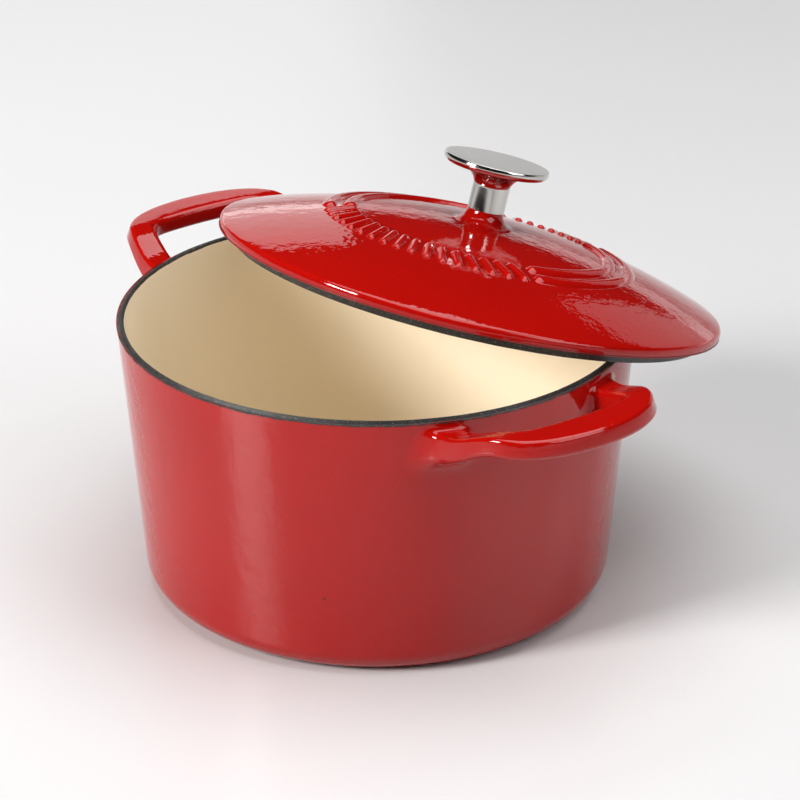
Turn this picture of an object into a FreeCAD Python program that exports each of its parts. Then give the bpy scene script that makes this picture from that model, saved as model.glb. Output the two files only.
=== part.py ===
import FreeCAD, Part
import math
import os

# Round enamelled cast iron dutch oven, lid resting ajar on the rim.
# Millimetres, +Z up. The origin is the centre of the foot on the table.
# X runs through the two loop handles and the lid slides down towards +Y.

# pot
rim_height = 136.6
rim_outer_radius = 125.0
rim_inner_radius = 121.3
base_cone_radius = 113.5        # outer wall carried straight down to the table
base_corner_radius = 15.0
floor_thickness = 6.0
floor_corner_radius = 13.0
enamel_thickness = 0.5
rim_coat_depth = 1.6
rim_coat_round = 1.1
foot_radius = 97.0               # flat iron disc that stands on the table
foot_height = 1.0
wall_slope = (rim_outer_radius - base_cone_radius) / rim_height

# loop handles
handle_top_root = 131.6
handle_top_bar = 140.6
handle_thickness = 9.2
handle_web_foot = 112.0
handle_web_round = (4.0, 12.0)   # how far the web curve swings out and up from its foot
handle_rise_start = 119.0
handle_rise_end = 154.0
handle_edge_round = 2.4
handle_outline = [(60.0, 101.0), (57.0, 112.0), (54.0, 124.0), (51.6, 137.0), (47.6, 150.0),
                  (42.0, 159.5), (33.0, 166.6), (19.0, 171.6), (0.0, 173.7)]
finger_gap_root = (39.5, 101.0)
finger_gap_corner = (33.0, 149.5)
finger_gap_middle = 153.4
finger_gap_round = 8.0

# lid, drawn level about its own axis with z = 0 on the plane of its seat
lid_radius = 126.0
lid_crease_radius = 125.6
lid_dome_height = 28.2
lid_dome_radius = 350.0
lid_wall = 3.9
seat_inner_radius = 120.2
ring_foot_radius = 118.1
ring_foot_inner = 116.9
ring_inner_radius = 111.0
ring_depth = 4.66
lid_edge_bulge = 0.25            # how far the rounded edge stands past the seat
lid_seat_step = 0.3
boss_radius = 8.9
boss_height = 34.0
boss_foot_round = 7.0
screw_hole_radius = 3.2
edge_band_low = 0.6              # foot of the red band on the rounded edge
edge_band_overlap = 0.4
zone_depth = 40.0                # tool shapes reach this far past the lid

# raised work on the lid
rib_radii = (75.0, 65.2)
rib_width = 7.2
rib_height = 1.9
rib_arcs = ((-15.0, 83.0), (133.0, 232.0))
relief_core_radius = 100.0       # the dome under the raised work
bead_radius = 70.0
bead_length = 8.6
bead_width = 3.2
bead_height = 1.5
bead_slant = 18.0
bead_rows = ((-121.0, -22.0, 17), (90.0, 126.0, 7))

# knob and its fastener
knob_radius = 26.0
knob_stem_radius = 9.2
knob_top = 60.0
knob_crown = 0.5
knob_edge = 4.0
knob_edge_top = 0.9              # where the rounded edge starts and ends, in from the radius
knob_edge_low = 1.2
knob_neck_round = 2.5
knob_neck_height = 50.5
knob_bore_depth = 14.0
seal_thickness = 0.7
seal_inset = 0.25
screw_radius = 2.9
screw_head_radius = 5.6
screw_head_height = 3.4
screw_head_round = 1.4
screw_slot = (7.0, 1.4, 1.6)     # length, width and depth of the cross slot
screw_tip_gap = 2.0
washer_gap = 0.3
washer_radius = 8.0
washer_thickness = 1.2

# where the lid lies
lid_lean = 17.0
lid_lean_azimuth = 94.2
lid_centre = FreeCAD.Vector(-4.3, 59.2, 137.9)

up = FreeCAD.Vector(0, 0, 1)
origin = FreeCAD.Vector(0, 0, 0)


def point(x, z):
    return FreeCAD.Vector(x, 0, z)


def line(a, b):
    return Part.LineSegment(a, b).toShape()


def polygon(points):
    return Part.makePolygon(points + [points[0]])


def turned(wire, angle=360.0):
    """Solid of revolution of a closed wire in the XZ plane about Z."""
    return Part.Face(wire).revolve(origin, up, angle)


def outer_wall(z):
    return base_cone_radius + wall_slope * z


def dome(r):
    return lid_dome_height - lid_dome_radius + math.sqrt(lid_dome_radius ** 2 - r * r)


def dome_curve(inset, r_from, r_to):
    """Arc of the dome, inset below its top surface, between two radii."""
    r_mid = (r_from + r_to) / 2
    ends = [point(r, dome(r) - inset) for r in (r_from, r_mid, r_to)]
    return Part.Arc(*ends).toShape()


# ---- pot ----

def pot_cup(inset):
    """Outer form of the pot without handles, made smaller all round by inset."""
    low = inset + foot_height
    base = base_cone_radius - inset
    wire = polygon([point(0, low), point(base + wall_slope * low, low),
                    point(base + wall_slope * rim_height, rim_height), point(0, rim_height)])
    cup = turned(wire)
    corner = [e for e in cup.Edges if abs(e.BoundBox.ZMax - low) < 1e-4 and e.BoundBox.XLength > 10]
    return cup.makeFillet(base_corner_radius - inset, corner)


def pot_hollow(grow):
    """Space inside the pot, made larger by grow."""
    low = floor_thickness + foot_height - grow
    top = rim_height + 5
    r_low = rim_inner_radius - wall_slope * (rim_height - low) + grow
    r_top = rim_inner_radius + wall_slope * (top - rim_height) + grow
    wire = polygon([point(0, low), point(r_low, low), point(r_top, top), point(0, top)])
    hollow = turned(wire)
    corner = [e for e in hollow.Edges if abs(e.BoundBox.ZMax - low) < 1e-4 and e.BoundBox.XLength > 10]
    return hollow.makeFillet(floor_corner_radius + grow, corner)


def smooth_through(points):
    curve = Part.BSplineCurve()
    curve.interpolate(points)
    return curve.toShape()


def handle_plan():
    """Bar of the loop seen from above, with the finger gap cut out."""
    right = [FreeCAD.Vector(v, u, 0) for u, v in handle_outline]
    left = [FreeCAD.Vector(p.x, -p.y, 0) for p in reversed(right[:-1])]
    outline = Part.Wire([smooth_through(right + left), line(left[-1], right[0])])
    prism = Part.Face(outline).extrude(up * 200)
    u_root, v_root = finger_gap_root
    u_corner, v_corner = finger_gap_corner
    corners = [FreeCAD.Vector(v_root, u_root, 0), FreeCAD.Vector(v_corner, u_corner, 0),
               FreeCAD.Vector(finger_gap_middle, 0, 0),
               FreeCAD.Vector(v_corner, -u_corner, 0), FreeCAD.Vector(v_root, -u_root, 0)]
    sides = [line(corners[4], corners[0]), line(corners[0], corners[1]),
             Part.Arc(*corners[1:4]).toShape(), line(corners[3], corners[4])]
    gap = Part.Face(Part.Wire(sides)).extrude(up * 200)
    uprights = [e for e in gap.Edges if e.BoundBox.ZLength > 100 and e.BoundBox.XMin > v_root + 15]
    return prism.cut(gap.makeFillet(finger_gap_round, uprights))


def handle_side():
    """Loop seen from its side: low at the pot wall, rising to a level bar."""
    reach = handle_outline[-1][1] + 10
    inner = handle_outline[0][1] - 6
    third = (handle_rise_end - handle_rise_start) / 3
    bar_foot = handle_top_bar - handle_thickness
    top = Part.BezierCurve()
    top.setPoles([point(handle_rise_start, handle_top_root),
                  point(handle_rise_start + third, handle_top_root),
                  point(handle_rise_end - third, handle_top_bar), point(handle_rise_end, handle_top_bar)])
    web = Part.BezierCurve()
    web.setPoles([point(handle_rise_end, bar_foot), point(handle_rise_end - third, bar_foot),
                  point(handle_rise_start + handle_web_round[0],
                        handle_web_foot + handle_web_round[1]),
                  point(handle_rise_start, handle_web_foot)])
    corners = [point(handle_rise_end, handle_top_bar), point(reach, handle_top_bar),
               point(reach, bar_foot), point(handle_rise_end, bar_foot)]
    bar = [line(a, b) for a, b in zip(corners, corners[1:])]
    corners = [point(handle_rise_start, handle_web_foot), point(inner, handle_web_foot),
               point(inner, handle_top_root), point(handle_rise_start, handle_top_root)]
    root = [line(a, b) for a, b in zip(corners, corners[1:])]
    face = Part.Face(Part.Wire([top.toShape()] + bar + [web.toShape()] + root))
    face.translate(FreeCAD.Vector(0, -100, 0))
    return face.extrude(FreeCAD.Vector(0, 200, 0))


def handle():
    """One loop handle on the +X side, its roots seated on the wall."""
    bar = handle_plan().common(handle_side()).Solids[0]
    rounded = [e for e in bar.Edges if e.BoundBox.XMax > outer_wall(handle_top_root) + 4
               and e.BoundBox.ZLength < e.Length * 0.75]
    return bar.makeFillet(handle_edge_round, rounded).cut(pot_cup(0))


def below(shape, level):
    """Part of a shape below a level."""
    return shape.common(Part.makeBox(600, 600, level + 50, FreeCAD.Vector(-300, -300, -50)))


def ring(r_in, r_out, low, high):
    tall = high - low
    outer = Part.makeCylinder(r_out, tall, FreeCAD.Vector(0, 0, low))
    return outer.cut(Part.makeCylinder(r_in, tall, FreeCAD.Vector(0, 0, low)))


def rim_coat():
    """Matte band over the bare rim, with rounded edges."""
    low = rim_height - rim_coat_depth
    coat = ring(rim_inner_radius, rim_outer_radius, low, rim_height)
    edges = [e for e in coat.Edges if e.BoundBox.ZMin > rim_height - 1e-4]
    return coat.makeFillet(rim_coat_round, edges)


def pot_parts():
    coat_foot = rim_height - rim_coat_depth
    foot = Part.makeCylinder(foot_radius, foot_height + enamel_thickness * 2)
    iron = below(pot_cup(enamel_thickness), coat_foot)
    casting = iron.cut(pot_hollow(enamel_thickness)).fuse(foot)
    red = below(pot_cup(0), coat_foot).cut([iron, pot_hollow(0), foot])
    cream = below(pot_hollow(enamel_thickness).cut(pot_hollow(0)), coat_foot)
    right = handle()
    left = right.copy()
    left.rotate(origin, up, 180)
    return {"pot_casting": casting, "pot_exterior_enamel": red.cut(cream),
            "pot_interior_enamel": cream, "pot_rim_coat": rim_coat(),
            "pot_handle_right": right, "pot_handle_left": left}


# ---- lid, level about its own axis ----

def lid_solid():
    """Whole lid as cast and coated: dome, rounded edge, seat and locating ring."""
    r_edge = lid_crease_radius
    ring_out = seat_inner_radius
    edge = Part.Arc(point(r_edge, dome(r_edge)), point(lid_radius + lid_edge_bulge, dome(r_edge) / 2),
                    point(lid_radius - lid_seat_step, 0)).toShape()
    under_foot = dome(ring_inner_radius) - lid_wall
    outline = [dome_curve(0, 0, r_edge), edge,
               line(point(lid_radius - lid_seat_step, 0), point(ring_out, 0)),
               line(point(ring_out, 0), point(ring_foot_radius, -ring_depth)),
               line(point(ring_foot_radius, -ring_depth), point(ring_foot_inner, -ring_depth)),
               line(point(ring_foot_inner, -ring_depth), point(ring_inner_radius, under_foot)),
               dome_curve(lid_wall, 0, ring_inner_radius),
               line(point(0, dome(0) - lid_wall), point(0, dome(0)))]
    return turned(Part.Wire(Part.__sortEdges__(outline)))


def dome_skin(inset, thickness, radius):
    """Even layer of the dome, inset below its top and out to a radius."""
    low = inset + thickness
    outline = [dome_curve(inset, 0, radius), dome_curve(low, 0, radius),
               line(point(0, dome(0) - low), point(0, dome(0) - inset)),
               line(point(radius, dome(radius) - low), point(radius, dome(radius) - inset))]
    return turned(Part.Wire(Part.__sortEdges__(outline)))


def boss(inset):
    """Pillar in the middle of the lid that carries the knob."""
    foot = dome(boss_radius + boss_foot_round)
    r_foot = boss_radius + boss_foot_round - inset
    r_top = boss_radius - inset
    middle = point(boss_radius + boss_foot_round * 0.29, foot + boss_foot_round * 0.29 + 0.4)
    flare = Part.Arc(point(r_foot, foot - inset), middle.sub(point(inset, inset)),
                     point(r_top, foot + boss_foot_round - inset)).toShape()
    outline = [flare, line(point(r_top, foot + boss_foot_round - inset), point(r_top, boss_height)),
               line(point(r_top, boss_height), point(0, boss_height)),
               line(point(0, boss_height), point(0, foot - 2)),
               line(point(0, foot - 2), point(r_foot, foot - 2)),
               line(point(r_foot, foot - 2), point(r_foot, foot - inset))]
    return turned(Part.Wire(Part.__sortEdges__(outline)))


def screw_hole():
    return Part.makeCylinder(screw_hole_radius, 60, FreeCAD.Vector(0, 0, 0))


def lid_parts():
    hole = screw_hole()
    whole = lid_solid().fuse(boss(0))
    skin_foot = lid_radius + 5
    skin_edge = lid_crease_radius - edge_band_overlap
    red_zone = dome_skin(-zone_depth, zone_depth + enamel_thickness, skin_edge)
    edge_band = ring(skin_edge, skin_foot, edge_band_low, zone_depth)
    boss_zone = Part.makeCylinder(boss_radius + boss_foot_round, zone_depth, FreeCAD.Vector(0, 0, 20))
    iron_boss = boss(enamel_thickness)
    dome_core = dome_skin(enamel_thickness, zone_depth, boss_radius + boss_foot_round)
    boss_skin = whole.common(boss_zone).cut([iron_boss, dome_core])
    red = whole.common(red_zone.fuse(edge_band)).cut(iron_boss).fuse(boss_skin).cut(hole)
    cream = dome_skin(lid_wall - enamel_thickness, enamel_thickness, ring_inner_radius).cut(hole)
    ring_face = whole.common(ring(ring_inner_radius, skin_foot, -10, -ring_depth + 1))
    seat_face = whole.common(ring(seat_inner_radius, skin_foot, -0.1, enamel_thickness))
    black = ring_face.fuse(seat_face)
    iron = whole.cut([red, cream, black, hole])
    return {"lid_casting": iron, "lid_exterior_enamel": red, "lid_interior_enamel": cream,
            "lid_rim_coat": black}


def on_dome(r, azimuth, lift=0.0):
    a = math.radians(azimuth)
    return FreeCAD.Vector(r * math.cos(a), r * math.sin(a), dome(r) + lift)


def lens(width, height):
    """Radius of the circle whose cap has this width and height."""
    return (width * width / 4 + height * height) / (2 * height)


def rib(r, first, last):
    """Rounded rib along an arc of the dome, with rounded ends."""
    section = lens(rib_width, rib_height)
    sunk = rib_height - section
    torus = Part.makeTorus(r, section, on_dome(r, 0, sunk) - FreeCAD.Vector(r, 0, 0), up, 0, 360,
                           last - first)
    torus.rotate(origin, up, first)
    ends = [Part.makeSphere(section, on_dome(r, a, sunk)) for a in (first, last)]
    return torus.fuse(ends)


def bead(azimuth):
    """Slanted rounded bar standing across the gap of the rib rings."""
    section = lens(bead_width, bead_height)
    sunk = bead_height - section
    half = (bead_length - bead_width) / 2
    slant = math.degrees(half / bead_radius) * math.tan(math.radians(bead_slant))
    a = on_dome(bead_radius - half, azimuth - slant, sunk)
    b = on_dome(bead_radius + half, azimuth + slant, sunk)
    bar = Part.makeCylinder(section, b.sub(a).Length, a, b.sub(a))
    return bar.fuse([Part.makeSphere(section, a), Part.makeSphere(section, b)])


def bead_row(first, last, count):
    step = (last - first) / (count - 1)
    core = dome_skin(0, zone_depth, relief_core_radius)
    return Part.makeCompound([bead(first + step * i).cut(core) for i in range(count)])


def relief_parts():
    core = dome_skin(0, zone_depth, relief_core_radius)
    parts = {}
    for name, r in zip(("outer", "inner"), rib_radii):
        ribs = [rib(r, first, last).cut(core) for first, last in rib_arcs]
        parts["lid_rib_" + name] = Part.makeCompound(ribs)
    for name, row in zip(("front", "back"), bead_rows):
        parts["lid_beads_" + name] = bead_row(*row)
    return parts


def knob():
    """Turned steel knob: disc top, flared neck, stem with a blind bore."""
    low = boss_height + seal_thickness
    rim_low = knob_top - knob_edge
    neck = knob_neck_height - knob_neck_round
    edge = Part.Arc(point(knob_radius - knob_edge_top, knob_top), point(knob_radius, knob_top - knob_edge / 2),
                    point(knob_radius - knob_edge_low, rim_low)).toShape()
    top = Part.Arc(point(0, knob_top + knob_crown), point(knob_radius / 2, knob_top + knob_crown * 0.8),
                   point(knob_radius - knob_edge_top, knob_top)).toShape()
    flare = Part.BezierCurve()
    flare.setPoles([point(knob_radius - knob_edge_low, rim_low), point(knob_stem_radius + 3, rim_low - 0.6),
                    point(knob_stem_radius, rim_low - knob_neck_round), point(knob_stem_radius, neck)])
    outline = [top, edge, flare.toShape(),
               line(point(knob_stem_radius, neck), point(knob_stem_radius, low)),
               line(point(knob_stem_radius, low), point(0, low)),
               line(point(0, low), point(0, knob_top + knob_crown))]
    solid = turned(Part.Wire(Part.__sortEdges__(outline)))
    return solid.cut(Part.makeCylinder(screw_radius, knob_bore_depth, point(0, low)))


def fastener_parts():
    under = dome(washer_radius) - lid_wall
    bore_end = boss_height + seal_thickness + knob_bore_depth
    washer = ring(screw_radius + washer_gap, washer_radius, under - washer_thickness, under)
    head_foot = under - washer_thickness - screw_head_height
    head = Part.makeCylinder(screw_head_radius, screw_head_height, point(0, head_foot))
    head = head.makeFillet(screw_head_round, [e for e in head.Edges if e.BoundBox.ZMax < head_foot + 1e-4])
    length, width, depth = screw_slot
    slot = Part.makeBox(length, width, depth, FreeCAD.Vector(-length / 2, -width / 2, head_foot))
    cross = Part.makeBox(width, length, depth, FreeCAD.Vector(-width / 2, -length / 2, head_foot))
    shank_foot = head_foot + screw_head_height
    shank = Part.makeCylinder(screw_radius, bore_end - screw_tip_gap - shank_foot,
                              point(0, shank_foot))
    screw = head.cut([slot, cross]).fuse(shank)
    seal = ring(screw_hole_radius, boss_radius - seal_inset, boss_height, boss_height + seal_thickness)
    return {"knob": knob(), "knob_screw": screw, "knob_screw_washer": washer, "knob_seal": seal}


def placed(shape):
    """Lid pieces moved from their own axis to where the lid lies."""
    a = math.radians(lid_lean_azimuth)
    hinge = FreeCAD.Vector(-math.sin(a), math.cos(a), 0)
    shape = shape.copy()
    shape.rotate(origin, hinge, lid_lean)
    shape.translate(lid_centre)
    return shape


def build():
    os.makedirs("parts", exist_ok=True)
    nodes = pot_parts()
    for group in (lid_parts(), relief_parts(), fastener_parts()):
        for name, shape in group.items():
            nodes[name] = placed(shape)
    for name, shape in nodes.items():
        print(name, shape.isValid(), len(shape.Solids), "solids", round(shape.Volume / 1000, 2), "cm3")
        shape.exportStep("parts/" + name + ".step")


build()
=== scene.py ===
import math
import bmesh
import bpy
from mathutils import Matrix, Vector, noise


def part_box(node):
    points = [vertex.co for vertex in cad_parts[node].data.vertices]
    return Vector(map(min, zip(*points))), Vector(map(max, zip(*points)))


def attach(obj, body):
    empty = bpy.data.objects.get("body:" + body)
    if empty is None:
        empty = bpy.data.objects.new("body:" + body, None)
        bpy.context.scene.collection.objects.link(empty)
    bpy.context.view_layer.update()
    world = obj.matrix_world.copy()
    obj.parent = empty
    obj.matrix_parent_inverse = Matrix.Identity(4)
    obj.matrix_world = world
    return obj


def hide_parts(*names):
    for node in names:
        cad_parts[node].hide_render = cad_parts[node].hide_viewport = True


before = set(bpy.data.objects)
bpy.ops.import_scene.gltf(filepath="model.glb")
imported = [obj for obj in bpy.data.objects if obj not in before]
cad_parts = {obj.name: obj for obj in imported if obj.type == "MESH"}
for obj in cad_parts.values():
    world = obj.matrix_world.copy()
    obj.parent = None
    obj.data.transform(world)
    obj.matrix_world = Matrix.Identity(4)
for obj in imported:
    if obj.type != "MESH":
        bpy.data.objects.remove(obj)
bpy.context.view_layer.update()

# Sizes in the dictionaries are millimetres and degrees, in the frame's own axes.
# Profiles are lists of (distance from the axis, height, rounding of that corner).
mm = 0.001
touching = 1e-6          # metres; points closer than this are one point
rightAngle = math.radians(90)


def rounded(corners, closed=True, steps=8):
    # returns the outline with its corners rounded
    outline = []
    count = len(corners)
    for i, (r, z, rounding) in enumerate(corners):
        here = Vector((r, z))
        if rounding <= 0 or (not closed and i in (0, count - 1)):
            outline.append(here)
            continue
        before = (Vector(corners[i - 1][:2]) - here).normalized()
        after = (Vector(corners[(i + 1) % count][:2]) - here).normalized()
        half = before.angle(after) / 2
        reach = rounding / math.tan(half)
        middle = here + (before + after).normalized() * (rounding / math.sin(half))
        start = here + before * reach - middle
        turn = math.pi - 2 * half
        if start.x * after.y - start.y * after.x < 0:
            turn = -turn
        for k in range(steps + 1):
            angle = turn * k / steps
            swung = Vector((start.x * math.cos(angle) - start.y * math.sin(angle),
                            start.x * math.sin(angle) + start.y * math.cos(angle)))
            outline.append(middle + swung)
    return outline


def spun(outline, steps):
    # turns a closed outline about Z; a point on the axis becomes a pole
    bm = bmesh.new()
    verts = [bm.verts.new((p[0] * mm, 0, p[1] * mm)) for p in outline]
    edges = [bm.edges.new((a, b)) for a, b in zip(verts, verts[1:] + verts[:1])
             if max(a.co.x, b.co.x) > touching]
    bmesh.ops.spin(bm, geom=verts + edges, cent=(0, 0, 0), axis=(0, 0, 1), dvec=(0, 0, 0),
                   angle=math.tau, steps=steps, use_merge=True)
    bmesh.ops.remove_doubles(bm, verts=bm.verts, dist=touching)
    bmesh.ops.recalc_face_normals(bm, faces=bm.faces)
    return bm


def wander(verts, amount, ripples, seed):
    # moves points up and down a little, as the edge of a hand-finished coat does
    for v in verts:
        around = math.atan2(v.co.y, v.co.x)
        at = Vector((math.cos(around) * ripples, math.sin(around) * ripples, seed))
        v.co.z += amount * mm * noise.noise(at)


def eased(value, start, end):
    u = min(max((value - start) / (end - start), 0), 1)
    return u * u * (3 - 2 * u)


def freshVerts(geom):
    return {g for g in geom if isinstance(g, bmesh.types.BMVert)}


def freshRim(geom, verts):
    return [g for g in geom if isinstance(g, bmesh.types.BMEdge)
            and g.verts[0] in verts and g.verts[1] in verts]


def piece(name, bm, materials, body, replaced, sharp=40):
    if body == "lid":
        bmesh.ops.transform(bm, matrix=lidPlace(), verts=bm.verts)
    mesh = bpy.data.meshes.new(name)
    bm.to_mesh(mesh)
    bm.free()
    mesh.set_sharp_from_angle(angle=math.radians(sharp))
    for material in materials:
        mesh.materials.append(material)
    made = bpy.data.objects.new(name, mesh)
    bpy.context.scene.collection.objects.link(made)
    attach(made, body)
    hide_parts(replaced)
    print("made", name, len(mesh.polygons), "faces")


def repaint(node, material):
    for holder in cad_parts[node].material_slots:
        holder.material = material
    print("painted", node)


# A Mix node's sockets, by number: first for plain numbers, then for colours.
mixFactor, mixFirst, mixSecond, mixResult = 0, 2, 3, 0
colourFirst, colourSecond, colourResult = 6, 7, 2


def newGroup(name, inputs, outputs):
    group = bpy.data.node_groups.new(name, "ShaderNodeTree")
    for socketName, value in inputs.items():
        made = group.interface.new_socket(name=socketName, in_out="INPUT",
                                          socket_type="NodeSocketFloat")
        made.default_value = value
    for socketName in outputs:
        group.interface.new_socket(name=socketName, in_out="OUTPUT", socket_type="NodeSocketFloat")
    return group, group.nodes.new("NodeGroupInput"), group.nodes.new("NodeGroupOutput")


def add(tree, kind, values=None, links=None, **settings):
    node = tree.nodes.new(kind)
    for key, value in settings.items():
        setattr(node, key, value)
    for key, value in (values or {}).items():
        node.inputs[key].default_value = value
    for key, source in (links or {}).items():
        tree.links.new(source, node.inputs[key])
    return node


def enamelSkinGroup():
    # slow waves of fired enamel, fine orange peel and a few pinholes
    group, given, made = newGroup("enamelSkin",
                                  {"Wave Scale": 90.0, "Peel Scale": 420.0, "Peel Share": 0.2,
                                   "Pinhole Scale": 55.0},
                                  ["Height", "Pinholes", "Mottle"])
    place = add(group, "ShaderNodeTexCoord").outputs["Object"]
    wave = add(group, "ShaderNodeTexNoise", {"Detail": 2.0, "Roughness": 0.45},
               {"Vector": place, "Scale": given.outputs["Wave Scale"]})
    peel = add(group, "ShaderNodeTexNoise", {"Detail": 1.0},
               {"Vector": place, "Scale": given.outputs["Peel Scale"]})
    share = add(group, "ShaderNodeMath", {}, {0: peel.outputs[0], 1: given.outputs["Peel Share"]},
                operation="MULTIPLY")
    height = add(group, "ShaderNodeMath", {}, {0: wave.outputs[0], 1: share.outputs[0]},
                 operation="ADD")
    cells = add(group, "ShaderNodeTexVoronoi", {"Randomness": 1.0},
                {"Vector": place, "Scale": given.outputs["Pinhole Scale"]})
    rare = add(group, "ShaderNodeTexNoise", {"Scale": 21.0, "Detail": 0.0}, {"Vector": place})
    near = add(group, "ShaderNodeMapRange",
               {"From Min": 0.03, "From Max": 0.055, "To Min": 1.0, "To Max": 0.0},
               {"Value": cells.outputs["Distance"]})
    some = add(group, "ShaderNodeMapRange", {"From Min": 0.58, "From Max": 0.62},
               {"Value": rare.outputs[0]})
    holes = add(group, "ShaderNodeMath", {}, {0: near.outputs[0], 1: some.outputs[0]},
                operation="MULTIPLY")
    mottle = add(group, "ShaderNodeTexNoise", {"Scale": 14.0, "Detail": 3.0}, {"Vector": place})
    group.links.new(height.outputs[0], made.inputs["Height"])
    group.links.new(holes.outputs[0], made.inputs["Pinholes"])
    group.links.new(mottle.outputs[0], made.inputs["Mottle"])
    return group


def castGrainGroup():
    # sandy cast or sprayed surface: fine grain, larger blotches and worn specks
    group, given, made = newGroup("castGrain", {"Grain Scale": 900.0, "Speck Scale": 1500.0},
                                  ["Height", "Specks", "Blotch"])
    place = add(group, "ShaderNodeTexCoord").outputs["Object"]
    grain = add(group, "ShaderNodeTexNoise", {"Detail": 4.0, "Roughness": 0.65},
                {"Vector": place, "Scale": given.outputs["Grain Scale"]})
    specks = add(group, "ShaderNodeTexNoise", {"Detail": 1.0},
                 {"Vector": place, "Scale": given.outputs["Speck Scale"]})
    bright = add(group, "ShaderNodeMapRange", {"From Min": 0.6, "From Max": 0.72},
                 {"Value": specks.outputs[0]})
    blotch = add(group, "ShaderNodeTexNoise", {"Scale": 60.0, "Detail": 3.0}, {"Vector": place})
    group.links.new(grain.outputs[0], made.inputs["Height"])
    group.links.new(bright.outputs[0], made.inputs["Specks"])
    group.links.new(blotch.outputs[0], made.inputs["Blotch"])
    return group


def useGroup(tree, group, values):
    node = tree.nodes.new("ShaderNodeGroup")
    node.node_tree = group
    for key, value in values.items():
        node.inputs[key].default_value = value
    return node.outputs


def newMaterial(name, shaderValues):
    material = bpy.data.materials.new(name)
    material.use_nodes = True
    tree = material.node_tree
    shader = tree.nodes["Principled BSDF"]
    for key, value in shaderValues.items():
        shader.inputs[key].default_value = value
    return material, tree, shader


def mixColour(tree, factor, first, second):
    # returns the mixed colour; first may be a colour or another node's output
    node = add(tree, "ShaderNodeMix", {}, {mixFactor: factor}, data_type="RGBA")
    if isinstance(first, bpy.types.NodeSocket):
        tree.links.new(first, node.inputs[colourFirst])
    else:
        node.inputs[colourFirst].default_value = first
    node.inputs[colourSecond].default_value = second
    return node.outputs[colourResult]


def bumped(tree, shader, height, look):
    bump = add(tree, "ShaderNodeBump", {"Strength": look["bump"], "Distance": look["depth"]},
               {"Height": height})
    tree.links.new(bump.outputs[0], shader.inputs["Normal"])


def roughened(tree, shader, pattern, look):
    smooth, coarse = look["rough"]
    rough = add(tree, "ShaderNodeMapRange", {"To Min": smooth, "To Max": coarse},
                {"Value": pattern})
    tree.links.new(rough.outputs[0], shader.inputs["Roughness"])


def enamel(name, skin, look):
    # fired glass over colour, with ripples, mottling and pinholes
    material, tree, shader = newMaterial(name, {"Roughness": look["roughness"], "IOR": look["ior"],
                                                "Coat Weight": look["coat"],
                                                "Coat Roughness": look["coatRoughness"]})
    used = useGroup(tree, skin, {"Wave Scale": look["wave"], "Peel Scale": look["peel"],
                                 "Peel Share": look["peelShare"], "Pinhole Scale": look["pinholes"]})
    spread = add(tree, "ShaderNodeMapRange", {"From Min": 0.35, "From Max": 0.65},
                 {"Value": used["Mottle"]})
    colour = mixColour(tree, spread.outputs[0], look["colour"], look["colourDeep"])
    spotted = mixColour(tree, used["Pinholes"], colour, look["pinhole"])
    tree.links.new(spotted, shader.inputs["Base Color"])
    bumped(tree, shader, used["Height"], look)
    return material


def matteCoat(name, grain, look):
    material, tree, shader = newMaterial(name, {"Metallic": look["metallic"], "IOR": look["ior"]})
    used = useGroup(tree, grain, {"Grain Scale": look["grain"], "Speck Scale": look["specks"]})
    blend = add(tree, "ShaderNodeMapRange", {"From Min": 0.35, "From Max": 0.7},
                {"Value": used["Blotch"]})
    colour = mixColour(tree, blend.outputs[0], look["colour"], look["colourWorn"])
    worn = mixColour(tree, used["Specks"], colour, look["speck"])
    tree.links.new(worn, shader.inputs["Base Color"])
    roughened(tree, shader, used["Blotch"], look)
    bumped(tree, shader, used["Height"], look)
    return material


def polishedSteel(look):
    material, tree, shader = newMaterial("polishedSteel", {"Base Color": look["colour"],
                                                           "Metallic": 1.0})
    place = add(tree, "ShaderNodeTexCoord")
    smears = add(tree, "ShaderNodeTexNoise", {"Scale": look["smears"], "Detail": 3.0},
                 {"Vector": place.outputs["Object"]})
    roughened(tree, shader, smears.outputs[0], look)
    bumped(tree, shader, smears.outputs[0], look)
    return material


def brushedSteel(look):
    # straight brush lines across the knob's top
    material, tree, shader = newMaterial("brushedSteel", {"Metallic": 1.0})
    place = add(tree, "ShaderNodeTexCoord")
    turned = add(tree, "ShaderNodeMapping",
                 {"Rotation": (0, 0, math.radians(look["turn"])), "Scale": look["lines"]},
                 {"Vector": place.outputs["Object"]})
    lines = add(tree, "ShaderNodeTexNoise", {"Scale": 1.0, "Detail": 3.0},
                {"Vector": turned.outputs[0]})
    colour = mixColour(tree, lines.outputs[0], look["colour"], look["colourBright"])
    tree.links.new(colour, shader.inputs["Base Color"])
    roughened(tree, shader, lines.outputs[0], look)
    bumped(tree, shader, lines.outputs[0], look)
    return material


redLook = {
    "colour": (0.362, 0.003, 0.0015, 1),
    "colourDeep": (0.332, 0.0028, 0.0014, 1),
    "pinhole": (0.12, 0.004, 0.004, 1),
    "roughness": 0.035,
    "ior": 1.45,
    "coat": 0.0,
    "coatRoughness": 0.03,
    "wave": 130.0,
    "peel": 520.0,
    "peelShare": 0.16,
    "pinholes": 55.0,
    "bump": 0.35,
    "depth": 0.0006,             # metres
}

creamLook = {
    "colour": (0.985, 0.885, 0.71, 1),
    "colourDeep": (0.98, 0.87, 0.69, 1),
    "pinhole": (0.45, 0.33, 0.2, 1),
    "roughness": 0.4,
    "ior": 1.5,
    "coat": 0.6,
    "coatRoughness": 0.12,
    "wave": 70.0,
    "peel": 420.0,
    "peelShare": 0.1,
    "pinholes": 55.0,
    "bump": 0.12,
    "depth": 0.0005,
}

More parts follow.
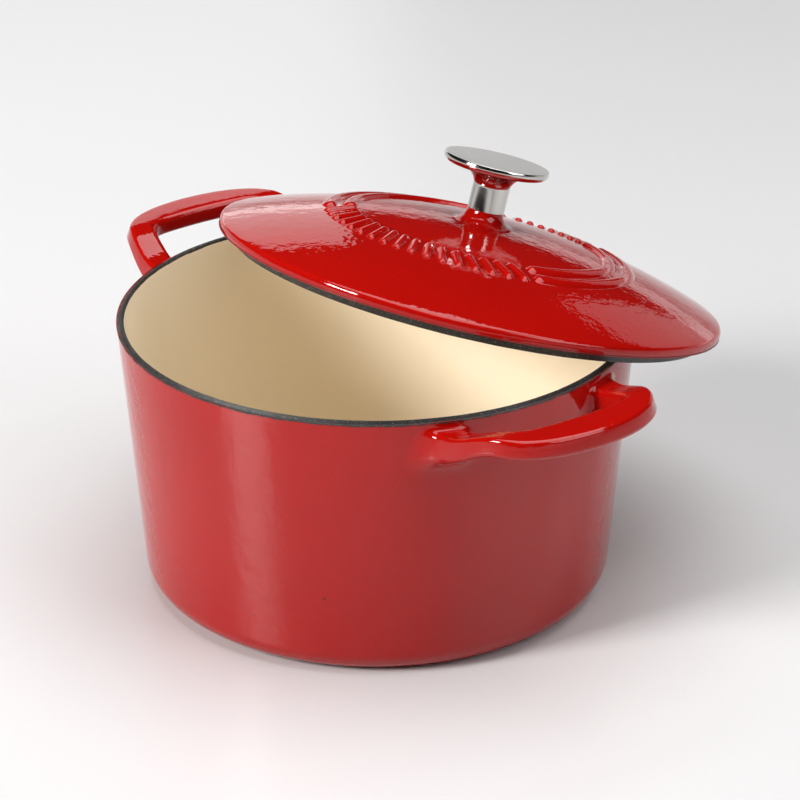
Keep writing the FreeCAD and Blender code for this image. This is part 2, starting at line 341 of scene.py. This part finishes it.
blackLook = {
    "colour": (0.012, 0.012, 0.012, 1),
    "colourWorn": (0.026, 0.025, 0.024, 1),
    "speck": (0.16, 0.155, 0.145, 1),
    "metallic": 0.0,
    "ior": 1.45,
    "rough": (0.38, 0.6),
    "grain": 900.0,
    "specks": 1500.0,
    "bump": 0.35,
    "depth": 0.0003,
}

ironLook = {
    "colour": (0.05, 0.048, 0.046, 1),
    "colourWorn": (0.09, 0.085, 0.08, 1),
    "speck": (0.16, 0.15, 0.14, 1),
    "metallic": 0.6,
    "ior": 1.45,
    "rough": (0.5, 0.7),
    "grain": 500.0,
    "specks": 1100.0,
    "bump": 0.5,
    "depth": 0.0004,
}

sealLook = dict(blackLook, colour=(0.02, 0.012, 0.010, 1), rough=(0.6, 0.8))

polishedLook = {
    "colour": (0.60, 0.58, 0.55, 1),
    "smears": 160.0,
    "rough": (0.06, 0.14),
    "bump": 0.05,
    "depth": 0.0001,
}

brushedLook = {
    "colour": (0.78, 0.77, 0.75, 1),
    "colourBright": (0.92, 0.91, 0.89, 1),
    "turn": 35,
    "lines": (30.0, 1400.0, 1400.0),     # long along the brush stroke, fine across it
    "rough": (0.4, 0.56),
    "bump": 0.12,
    "depth": 0.0001,
}

enamelSkin = enamelSkinGroup()
castGrain = castGrainGroup()
redEnamel = enamel("redEnamel", enamelSkin, redLook)
creamEnamel = enamel("creamEnamel", enamelSkin, creamLook)
matteBlack = matteCoat("matteBlack", castGrain, blackLook)
rawIron = matteCoat("rawIron", castGrain, ironLook)
sealFibre = matteCoat("sealFibre", castGrain, sealLook)
polished = polishedSteel(polishedLook)
brushed = brushedSteel(brushedLook)
print("materials ready")


rimLow, rimHigh = (Vector(corner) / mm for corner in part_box("pot_rim_coat"))

pot = {
    "rimHeight": rimHigh.z,
    "rimRadius": rimHigh.x,
    "rimWidth": 3.7,
    "baseRadius": 113.5,         # the wall's cone carried down to the table
    "coatTop": rimLow.z,         # where red and cream end and the rim's black starts
    "coat": 0.5,
    "edgeBand": 0.1,             # points this near a coat's edge are on the edge
    "cornerSteps": 16,
    "steps": 360,
}


def wallRadius(z):
    return pot["baseRadius"] + (pot["rimRadius"] - pot["baseRadius"]) * z / pot["rimHeight"]


def coatEdge(bm):
    return [v for v in bm.verts if v.co.z > (pot["coatTop"] - pot["edgeBand"]) * mm]


redPot = {
    "footRadius": 97.0,
    "baseLevel": 0.25,
    "baseRound": 13.0,
    "edgeWander": (0.32, 22, 1.0),       # how far, ripples, seed
}


def redPotSide(inset):
    # outside of the cup from its foot up to the rim's coat, moved in by inset
    low = redPot["baseLevel"] + inset
    corners = [(redPot["footRadius"], low, 0),
               (wallRadius(low) - inset, low, redPot["baseRound"] - inset),
               (wallRadius(pot["coatTop"]) - inset, pot["coatTop"], 0)]
    return rounded(corners, closed=False, steps=pot["cornerSteps"])


def potRedCoat():
    bm = spun(redPotSide(0) + redPotSide(pot["coat"])[::-1], pot["steps"])
    wander(coatEdge(bm), *redPot["edgeWander"])
    piece("potRedCoat", bm, [redEnamel], "pot", "pot_exterior_enamel")


creamPot = {
    "floorLevel": 7.0,
    "floorRound": 13.0,
    "edgeWander": (0.32, 30, 5.0),
}


def creamPotSide(out):
    # inside of the cup from the middle of its floor up to the rim's coat, moved out by out
    slope = (pot["rimRadius"] - pot["baseRadius"]) / pot["rimHeight"]
    inner = pot["rimRadius"] - pot["rimWidth"]
    low, top = creamPot["floorLevel"], pot["coatTop"]
    foot = inner - slope * (pot["rimHeight"] - low) + out
    corners = [(0, low - out, 0), (foot, low - out, creamPot["floorRound"] + out),
               (inner - slope * (pot["rimHeight"] - top) + out, top, 0)]
    return rounded(corners, closed=False, steps=pot["cornerSteps"])


def potCreamCoat():
    bm = spun(creamPotSide(0) + creamPotSide(pot["coat"])[::-1], pot["steps"])
    wander(coatEdge(bm), *creamPot["edgeWander"])
    piece("potCreamCoat", bm, [creamEnamel], "pot", "pot_interior_enamel")


rimCoat = {
    "round": 1.25,
    "lap": 0.25,                 # how far it comes down over the red and the cream
    "insideStep": 0.03,
    "outsideStep": 0.02,
    "footBand": 0.3,
    "cornerSteps": 7,
    "footWander": (0.48, 26, 9.0),
    "topWander": (0.064, 9, 3.0),
}


def potRimCoat():
    inner, outer = pot["rimRadius"] - pot["rimWidth"], pot["rimRadius"]
    low, high = pot["coatTop"] - rimCoat["lap"], pot["rimHeight"]
    corners = [(inner - rimCoat["insideStep"], low, 0), (outer - rimCoat["outsideStep"], low, 0),
               (outer, high, rimCoat["round"]), (inner, high, rimCoat["round"])]
    bm = spun(rounded(corners, steps=rimCoat["cornerSteps"]), pot["steps"])
    foot = [v for v in bm.verts if v.co.z < (low + rimCoat["footBand"]) * mm]
    wander(foot, *rimCoat["footWander"])
    wander(bm.verts, *rimCoat["topWander"])
    piece("potRimCoat", bm, [matteBlack], "pot", "pot_rim_coat")


handle = {
    # edges of the loop from above, half of it: reach from the pot's axis, distance to the side
    "outer": ((88, 54.5), (104, 53.8), (112, 53.2), (124, 52.4), (137, 51.0), (150, 47.4),
              (159.5, 42.0), (166.6, 33.0), (171.6, 19.0), (173.6, 0.0)),
    "inner": ((88, 40.4), (104, 39.2), (112, 38.3), (124, 36.6), (136, 35.0), (144.5, 33.2),
              (149.8, 29.6), (152.0, 24.0), (153.0, 13.0), (153.4, 0.0)),
    "draft": 1.5,                # the top's outer edge stands in from the foot's
    "topRoot": 131.2,
    "topBar": 140.55,
    "riseStart": 120.0,
    "riseEnd": 154.0,
    "thickBar": 9.1,
    "thickRoot": 12.5,
    "rounds": (2.3, 3.0, 2.6, 3.0),      # outer top, inner top, inner foot, outer foot
    "cornerSteps": 6,
    "flatShares": (0.25, 0.5, 0.75),     # points across the flat top and foot
    "blendTop": 2.6,             # blend into the wall above, beside and under the arm
    "blendSide": 7.0,
    "blendFoot": 13.0,
    "blendSteps": 10,
    "rooted": ((1.6, -0.45), (1.6, -0.1)),   # rings inside the wall: swell, distance off the wall
    "stations": 40,
    "lastOnWall": 6.0,           # how far along the outline the wall is looked for
    "halvings": 40,
}


def through(points, t):
    # smooth curve through the points; t counts them from 0
    last = len(points) - 1
    i = min(int(t), last - 1)
    u = t - i
    a, b, c, d = (Vector(points[min(max(k, 0), last)]) for k in (i - 1, i, i + 1, i + 2))
    if i == last - 1:
        d = Vector((b.x, -b.y))      # the other half mirrors this one
    return 0.5 * (2 * b + (c - a) * u + (2 * a - 5 * b + 4 * c - d) * u ** 2
                  + (3 * b - a - 3 * c + d) * u ** 3)


def handleRise(reach):
    return eased(reach, handle["riseStart"], handle["riseEnd"])


def handleTop(reach):
    return handle["topRoot"] + (handle["topBar"] - handle["topRoot"]) * handleRise(reach)


def handleFoot(reach):
    thick = handle["thickRoot"] - (handle["thickRoot"] - handle["thickBar"]) * handleRise(reach)
    return handleTop(reach) - thick


def sectionRing():
    # spots round the bar: share across, inset from that edge, top or foot, drop, and the normal
    rounds, steps = handle["rounds"], handle["cornerSteps"]
    corners = ((1, 1, rounds[0]), (0, 1, rounds[1]), (0, 0, rounds[2]), (1, 0, rounds[3]))
    ring = []
    for number, (side, height, r) in enumerate(corners):
        for k in range(steps + 1):
            angle = rightAngle * (number + k / steps)
            out, lift = math.cos(angle), math.sin(angle)
            ring.append((side, r * (1 - abs(out)), height, r * (1 - abs(lift)), out, lift))
        nextSide = corners[(number + 1) % len(corners)][0]
        if side != nextSide:
            for share in handle["flatShares"]:
                across = share if nextSide else 1 - share
                ring.append((across, 0, height, 0, 0, 1 if height else -1))
    return ring


def handlePoint(spot, t, swollen):
    # one spot of the ring, t along the outline; swollen pushes it off the bar along its normal
    side, inset, height, drop, across, lift = spot
    outer = through(handle["outer"], t)
    inner = through(handle["inner"], t)
    direction = (outer - inner).normalized()
    outer = outer - direction * handle["draft"] * height
    outerRound, innerRound = handle["rounds"][:2]
    if side == 1:
        plan = outer - direction * inset
    elif side == 0:
        plan = inner + direction * inset
    else:
        flat = outer - inner - direction * (outerRound + innerRound)
        plan = inner + direction * innerRound + flat * side
    z = handleTop(plan.x) - drop if height else handleFoot(plan.x) + drop
    plan = plan + direction * across * swollen
    return Vector((plan.x, plan.y, z + lift * swollen))


def offWall(p):
    return math.hypot(p.x, p.y) - wallRadius(p.z)


def blendRadius(spot):
    lift = spot[-1]
    other = handle["blendTop"] if lift > 0 else handle["blendFoot"]
    return handle["blendSide"] + (other - handle["blendSide"]) * abs(lift)


def seatOnWall(spot, swollen, gap):
    # slides a spot along the arm until it stands gap away from the wall
    low, high = 0.0, handle["lastOnWall"]
    for _ in range(handle["halvings"]):
        t = (low + high) / 2
        if offWall(handlePoint(spot, t, swollen)) > gap:
            high = t
        else:
            low = t
    return (low + high) / 2


def rootRings(ring):
    # two rings inside the wall, then the blend that narrows from the wall to the arm
    rings = []
    for more, gap in handle["rooted"]:
        row = []
        for spot in ring:
            swollen = blendRadius(spot) + more
            row.append(handlePoint(spot, seatOnWall(spot, swollen, gap), swollen))
        rings.append(row)
    for k in range(handle["blendSteps"], -1, -1):
        angle = rightAngle * k / handle["blendSteps"]
        row = []
        for spot in ring:
            radius = blendRadius(spot)
            swollen = radius * (1 - math.cos(angle))
            t = seatOnWall(spot, swollen, radius * (1 - math.sin(angle)))
            row.append(handlePoint(spot, t, swollen))
        rings.append(row)
    return rings


def handleRings():
    ring = sectionRing()
    rings = rootRings(ring)
    starts = [seatOnWall(spot, 0, blendRadius(spot)) for spot in ring]
    first = sum(starts) / len(starts)
    last = len(handle["outer"]) - 1
    for k in range(1, handle["stations"] + 1):
        share = k / handle["stations"]
        common = first + (last - first) * share
        rings.append([handlePoint(spot, common + (start - first) * (1 - share) ** 2, 0)
                      for spot, start in zip(ring, starts)])
    mirrored = [[Vector((p.x, -p.y, p.z)) for p in row] for row in rings[-2::-1]]
    return rings + mirrored


def handleLoop(name, turn, replaced):
    rings = handleRings()
    bm = bmesh.new()
    ring = [bm.verts.new(p * mm) for p in rings[0]]
    edges = [bm.edges.new((a, b)) for a, b in zip(ring, ring[1:] + ring[:1])]
    bmesh.ops.contextual_create(bm, geom=edges)
    for row in rings[1:]:
        made = bmesh.ops.extrude_edge_only(bm, edges=edges)["geom"]
        fresh = freshVerts(made)
        ring = [next(e.other_vert(v) for e in v.link_edges if e.other_vert(v) in fresh)
                for v in ring]
        edges = freshRim(made, fresh)
        for v, p in zip(ring, row):
            v.co = p * mm
    bmesh.ops.contextual_create(bm, geom=edges)
    bmesh.ops.rotate(bm, verts=bm.verts, cent=(0, 0, 0), matrix=Matrix.Rotation(turn, 3, "Z"))
    bmesh.ops.recalc_face_normals(bm, faces=bm.faces)
    piece(name, bm, [redEnamel], "pot", replaced, sharp=60)


lid = {
    "centre": (-4.3, 59.2, 137.9),   # middle of the seat, where the lid lies on the rim
    "lean": 17.0,
    "leanTowards": 94.2,
    "domeHeight": 28.2,
    "domeRadius": 350.0,
    "wall": 3.9,
    "hole": 3.2,
    "coat": 0.45,
    "steps": 360,
}


def lidPlace():
    towards = Matrix.Rotation(math.radians(lid["leanTowards"]), 4, "Z")
    tilt = Matrix.Rotation(math.radians(lid["lean"]), 4, "Y")
    middle = Matrix.Translation(Vector(lid["centre"]) * mm)
    return middle @ towards @ tilt @ towards.inverted()


def domeLevel(r, inset=0):
    middle = lid["domeHeight"] - lid["domeRadius"]
    return middle + math.sqrt(lid["domeRadius"] ** 2 - r * r) - inset


def domeRun(start, end, pitch, inset=0):
    count = max(1, round(abs(end - start) / pitch))
    radii = [start + (end - start) * k / count for k in range(count + 1)]
    return [Vector((r, domeLevel(r, inset))) for r in radii]


redLid = {
    "bossRadius": 8.9,
    "bossTop": 34.0,
    "bossEdge": ((8.3, 34.0), (8.72, 33.82), (8.9, 33.4)),
    "bossFlare": 7.5,
    "flareSteps": 14,
    "domeEnd": 122.4,            # the rounded edge starts here
    "edge": ((125.8, 4.6142, 2.4), (125.95, 2.2, 3.0), (125.5, 0.0, 0.0)),
    "edgeInside": ((125.0, 0.0), (124.6, 3.6)),
    "edgeSteps": 7,
    "pitch": 3.0,
    "pitchInside": 6.0,
}


def bossFlare(inset):
    # curve from the boss's side out on to the dome, first and last point included
    reach = redLid["bossFlare"]
    foot = redLid["bossRadius"] - inset + reach
    low = domeLevel(foot, inset)
    points = []
    for k in range(redLid["flareSteps"] + 1):
        angle = rightAngle * k / redLid["flareSteps"]
        r = foot - reach * math.cos(angle)
        z = low + reach * (1 - math.sin(angle))
        points.append(Vector((r, z + (domeLevel(r, inset) - low) * math.sin(angle))))
    return points


def lidRedCoat():
    coat, hole, top = lid["coat"], lid["hole"], redLid["bossTop"]
    start, end = redLid["bossRadius"] + redLid["bossFlare"], redLid["domeEnd"]
    outside = [Vector((hole, top))] + [Vector(point) for point in redLid["bossEdge"]]
    outside += bossFlare(0)
    outside += domeRun(start, end, redLid["pitch"])[1:-1]
    outside += rounded([(end, domeLevel(end), 0), *redLid["edge"]], closed=False,
                       steps=redLid["edgeSteps"])
    inside = [Vector(point) for point in redLid["edgeInside"]]
    inside += domeRun(end, start, redLid["pitchInside"], coat)
    inside += bossFlare(coat)[::-1][1:]
    inside += [Vector((redLid["bossRadius"] - coat, top - coat)), Vector((hole, top - coat))]
    bm = spun(outside + inside, lid["steps"])
    piece("lidRedCoat", bm, [redEnamel], "lid", "lid_exterior_enamel", sharp=50)


relief = {
    "ribRadii": {"Outer": 75.0, "Inner": 65.2},
    "ribHalf": 3.9,
    "ribHeight": 1.9,
    "ribArcs": ((-15.0, 83.0), (133.0, 232.0)),
    "ribGrid": (200, 18),
    "barRadius": 70.0,
    "barLength": 17.5,
    "barHalf": 2.3,
    "barHeight": 1.5,
    "barSlant": 20.0,
    "barRows": {"Front": (-120.0, -23.0, 17), "Back": (91.0, 125.0, 7)},   # from, to, count
    "barGrid": (28, 14),
    "crown": 2.4,                # higher is flatter on top
    "soften": 0.22,              # share of the half width that the coat pools over at the foot
    "sunk": 0.06,
    "skirt": 0.3,
}


def swell(distance, half, height):
    # rounded top with a soft foot, as enamel leaves on raised work
    share = max(0, 1 - distance / half)
    foot = eased(share, 0, relief["soften"])
    return height * (1 - (1 - share) ** relief["crown"]) * foot


def raisedPatch(bm, grid, spot):
    # a grid laid over the dome; spot turns its two shares, -1 to 1, into x, y and a height
    made = bmesh.ops.create_grid(bm, x_segments=grid[0], y_segments=grid[1], size=1)
    sheet = freshVerts(made["verts"])
    edges = [e for e in bm.edges if e.is_boundary and e.verts[0] in sheet]
    for v in sheet:
        x, y, tall = spot(v.co.x, v.co.y)
        level = domeLevel(math.hypot(x, y))
        v.co = Vector((x, y, level + (tall if tall > 0 else -relief["sunk"]))) * mm
    made = bmesh.ops.extrude_edge_only(bm, edges=edges)["geom"]
    fresh = freshVerts(made)
    bmesh.ops.translate(bm, verts=list(fresh), vec=(0, 0, -relief["skirt"] * mm))
    bmesh.ops.contextual_create(bm, geom=freshRim(made, fresh))


def ribPatch(bm, radius, first, last):
    half = relief["ribHalf"]
    margin = math.degrees(half / radius)

    def spot(u, v):
        azimuth = (first + last) / 2 + u * ((last - first) / 2 + margin)
        r = radius + v * half
        beyond = max(first - azimuth, azimuth - last, 0)
        distance = math.hypot(r - radius, math.radians(beyond) * radius)
        turn = math.radians(azimuth)
        return r * math.cos(turn), r * math.sin(turn), swell(distance, half, relief["ribHeight"])

    raisedPatch(bm, relief["ribGrid"], spot)


def barPatch(bm, azimuth):
    # one slanted bar across the gap between the ribs
    half, halfLength = relief["barHalf"], relief["barLength"] / 2
    turn = math.radians(azimuth)
    lean = turn + math.radians(relief["barSlant"])
    middle = Vector((math.cos(turn), math.sin(turn))) * relief["barRadius"]
    along = Vector((math.cos(lean), math.sin(lean)))
    across = Vector((-along.y, along.x))

    def spot(u, v):
        beyond = max(abs(u) * halfLength - (halfLength - half), 0)
        at = middle + along * u * halfLength + across * v * half
        return at.x, at.y, swell(math.hypot(beyond, v * half), half, relief["barHeight"])

    raisedPatch(bm, relief["barGrid"], spot)


def reliefPiece(name, bm, replaced):
    bmesh.ops.recalc_face_normals(bm, faces=bm.faces)
    piece(name, bm, [redEnamel], "lid", replaced, sharp=70)


def lidRelief():
    for name, radius in relief["ribRadii"].items():
        bm = bmesh.new()
        for first, last in relief["ribArcs"]:
            ribPatch(bm, radius, first, last)
        reliefPiece("lidRib" + name, bm, "lid_rib_" + name.lower())
    for name, (first, last, count) in relief["barRows"].items():
        bm = bmesh.new()
        for number in range(count):
            barPatch(bm, first + (last - first) * number / (count - 1))
        reliefPiece("lidBars" + name, bm, "lid_beads_" + name.lower())


blackRing = {
    # under the seat from the lid's edge, down round the locating ring, then back inside the coat
    "profile": ((125.45, -0.05, 0), (120.3, -0.05, 0.5), (118.2, -4.7, 0.7), (116.8, -4.7, 0.5),
                (116.0, -3.3, 0), (116.4, -3.3, 0), (117.3, -4.25, 0), (117.8, -4.25, 0),
                (119.8, 0.45, 0), (125.25, 0.45, 0)),
    "cornerSteps": 5,
    "wander": (0.06, 14, 7.0),
}


def lidBlackRing():
    bm = spun(rounded(blackRing["profile"], steps=blackRing["cornerSteps"]), lid["steps"])
    wander(bm.verts, *blackRing["wander"])
    piece("lidBlackRing", bm, [matteBlack], "lid", "lid_rim_coat")


creamLid = {
    "domeEnd": 104.9,
    "bend": (110.8, 5.8656, 4.0),        # where the dome's inside turns down into the ring
    "foot": (115.92, -3.35),
    "footBack": (116.32, -3.35),
    "bendBack": (111.3, 6.3656),
    "cornerSteps": 8,
    "pitch": 4.0,
    "pitchBack": 6.0,
}


def lidCreamCoat():
    end, hole, wall = creamLid["domeEnd"], lid["hole"], lid["wall"]
    under = domeRun(hole, end, creamLid["pitch"], wall)[:-1]
    under += rounded([(end, domeLevel(end, wall), 0), creamLid["bend"], (*creamLid["foot"], 0)],
                     closed=False, steps=creamLid["cornerSteps"])
    back = [Vector(creamLid["footBack"]), Vector(creamLid["bendBack"])]
    back += domeRun(end, hole, creamLid["pitchBack"], wall - lid["coat"])
    bm = spun(under + back, lid["steps"])
    piece("lidCreamCoat", bm, [creamEnamel], "lid", "lid_interior_enamel")


knob = {
    "radius": 26.6,
    "top": 59.8,
    "crown": 0.5,
    "crownRadii": (0, 4, 8, 12, 16, 20, 23),
    # rounded edge, slim underside, neck and stem, down to the seal
    "profile": ((25.85, 59.8, 0.35), (26.6, 57.9, 2.6), (24.9, 55.7, 2.0), (14.4, 54.0, 8.0),
                (9.2, 50.0, 7.0), (9.2, 35.0, 0), (8.9, 34.7, 0), (0, 34.7, 0)),
    "brushedRadius": 25.7,
    "brushedDepth": 0.05,
    "cornerSteps": 9,
    "steps": 256,
}


def onBrushedTop(face):
    centre = face.calc_center_median() / mm
    return (centre.z > knob["top"] - knob["brushedDepth"]
            and math.hypot(centre.x, centre.y) < knob["brushedRadius"])


def knobTurned():
    crown = [(r, knob["top"] + knob["crown"] * (1 - (r / knob["radius"]) ** 2), 0)
             for r in knob["crownRadii"]]
    outline = rounded([*crown, *knob["profile"]], closed=False, steps=knob["cornerSteps"])
    bm = spun(outline, knob["steps"])
    for face in bm.faces:
        face.material_index = 0 if onBrushedTop(face) else 1
    piece("knobTurned", bm, [brushed, polished], "lid", "knob")


shot = {
    "place": (1.1989, -0.8552, 0.7806),      # metres
    "turn": 54.06,
    "pitch": 25.14,
    "lens": 150.3,
    "sensor": 36.0,
}


def makeCamera():
    camera = bpy.data.cameras.new("camera")
    camera.lens = shot["lens"]
    camera.sensor_width = shot["sensor"]
    camera.dof.use_dof = False
    made = bpy.data.objects.new("camera", camera)
    bpy.context.scene.collection.objects.link(made)
    made.location = shot["place"]
    made.rotation_euler = (math.radians(90 - shot["pitch"]), 0, math.radians(shot["turn"]))
    bpy.context.scene.camera = made


tableTop = {
    "size": 5.2,                 # metres
    "colour": (0.65, 0.645, 0.65, 1),
    "roughness": 0.3,
}


def makeFloor():
    bm = bmesh.new()
    bmesh.ops.create_grid(bm, x_segments=1, y_segments=1, size=tableTop["size"] / 2)
    mesh = bpy.data.meshes.new("floor")
    bm.to_mesh(mesh)
    bm.free()
    material, _, _ = newMaterial("paleFloor", {"Base Color": tableTop["colour"],
                                               "Roughness": tableTop["roughness"]})
    mesh.materials.append(material)
    made = bpy.data.objects.new("floor", mesh)
    bpy.context.scene.collection.objects.link(made)


room = {
    "seen": 0.78,                # what the camera sees past the floor
    "band": 0.80,                # pale paper round the table, as the gloss mirrors it
    "air": 0.015,
    "bandTop": 0.05,
    "bandSoft": 0.03,
}


def makeWorld():
    # a pale band at the table's level and dim air above it
    world = bpy.data.worlds.new("studio")
    bpy.context.scene.world = world
    world.use_nodes = True
    tree = world.node_tree
    place = add(tree, "ShaderNodeTexCoord")
    split = add(tree, "ShaderNodeSeparateXYZ", {}, {0: place.outputs["Generated"]})
    level = add(tree, "ShaderNodeMapRange", {"From Min": room["bandTop"] - room["bandSoft"],
                                             "From Max": room["bandTop"] + room["bandSoft"],
                                             "To Min": room["band"], "To Max": room["air"]},
                {"Value": split.outputs["Z"]}, interpolation_type="SMOOTHSTEP")
    path = add(tree, "ShaderNodeLightPath")
    seen = add(tree, "ShaderNodeMix", {mixSecond: room["seen"]},
               {mixFactor: path.outputs["Is Camera Ray"], mixFirst: level.outputs[0]})
    tree.links.new(seen.outputs[mixResult], tree.nodes["Background"].inputs["Color"])


# name, place, what it aims at, width, height, power, colour; metres and watts
lamps = (
    ("keyLight", (-0.36, -3.15, 1.8), (0, 0, 0.08), 1.0, 1.2, 152.0, (1.0, 0.985, 0.965)),
    ("topLight", (0.0, 0.5, 3.0), (0, 0, 0), 3.0, 3.0, 96.0, (1.0, 1.0, 1.0)),
    ("fillLight", (1.9, 0.8, 1.6), (0, 0, 0.1), 1.4, 1.4, 22.0, (0.98, 0.99, 1.0)),
)

# pale boards that only the gloss mirrors
boards = (
    ("cardBackLeft", (-2.32, 0.94, 0.66), (0, 0, 0.15), 1.25, 1.1, 4.3, (1.0, 1.0, 1.0)),
    ("cardBackRight", (-0.78, 2.36, 0.66), (0, 0, 0.15), 1.15, 1.1, 1.9, (1.0, 1.0, 1.0)),
)


def makeLamp(name, place, aim, width, height, power, colour):
    lamp = bpy.data.lights.new(name, "AREA")
    lamp.shape = "RECTANGLE"
    lamp.size, lamp.size_y = width, height
    lamp.energy, lamp.color = power, colour
    made = bpy.data.objects.new(name, lamp)
    bpy.context.scene.collection.objects.link(made)
    made.location = place
    made.visible_camera = False
    made.rotation_euler = (Vector(aim) - Vector(place)).to_track_quat("-Z", "Y").to_euler()
    return made


makeCamera()
makeWorld()
for row in lamps:
    makeLamp(*row)
for row in boards:
    makeLamp(*row).visible_diffuse = False
makeFloor()
bpy.context.scene.view_settings.view_transform = "Standard"
print("stage ready")

potRedCoat()
potCreamCoat()
potRimCoat()
handleLoop("handleRight", 0, "pot_handle_right")
handleLoop("handleLeft", math.pi, "pot_handle_left")
lidRedCoat()
lidRelief()
lidBlackRing()
lidCreamCoat()
knobTurned()
repaint("pot_casting", rawIron)
repaint("lid_casting", rawIron)
repaint("knob_screw", polished)
repaint("knob_screw_washer", polished)
repaint("knob_seal", sealFibre)
